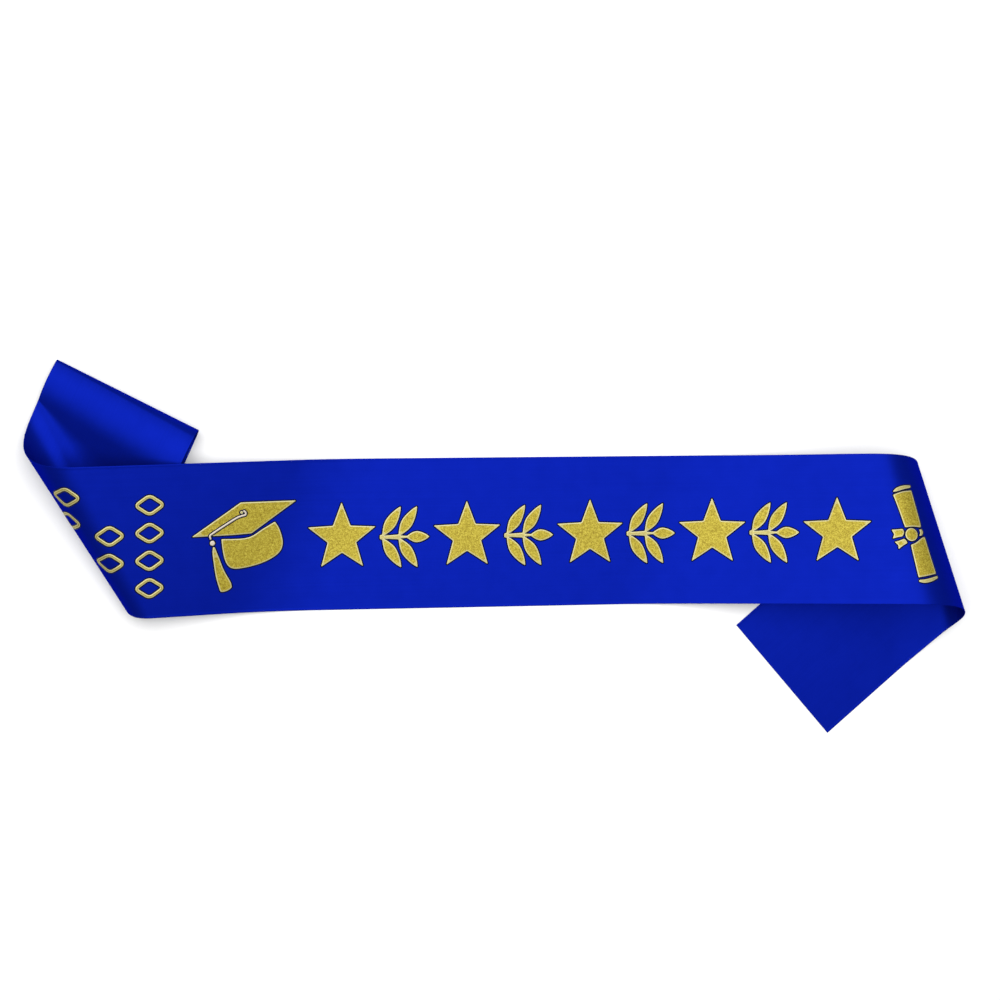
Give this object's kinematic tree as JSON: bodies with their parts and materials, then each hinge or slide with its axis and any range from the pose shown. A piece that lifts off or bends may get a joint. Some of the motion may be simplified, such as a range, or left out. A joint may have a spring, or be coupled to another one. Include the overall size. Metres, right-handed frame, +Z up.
{
  "type": "graduation stole",
  "caption": "Flat satin ribbon sash folded and laid down, a tail turned under at one end and a looped fold at the other, with a gold graduation print.",
  "frame": {"origin": "middle of the bounding box, on the surface the sash lies on", "axes": "+X along the printed panel towards the tail's fold, +Y across the panel towards its upper edge, +Z up off the surface"},
  "size_m": [0.593, 0.2374, 0.05],
  "materials": {
    "satin": "satin weave, royal blue",
    "print": "gold glitter film"
  },
  "bodies": {
    "root": {"sash_ribbon": "satin", "cap_board": "print", "cap_crown": "print", "cap_button": "print", "cap_cord": "print", "cap_bead": "print", "cap_tassel": "print", "diploma_top_rim": "print", "diploma_top_roll": "print", "diploma_knot": "print", "diploma_bow_upper": "print", "diploma_bow_lower": "print", "diploma_low_roll": "print", "diploma_low_rim": "print", "star_1": "print", "star_2": "print", "star_3": "print", "star_4": "print", "star_5": "print", "sprig_1": "print", "sprig_2": "print", "sprig_3": "print", "sprig_4": "print", "lozenge_a1": "print", "lozenge_a2": "print", "lozenge_a3": "print", "lozenge_a4": "print", "lozenge_b1": "print", "lozenge_b2": "print", "lozenge_c1": "print", "lozenge_c2": "print"}
  },
  "joints": []
}
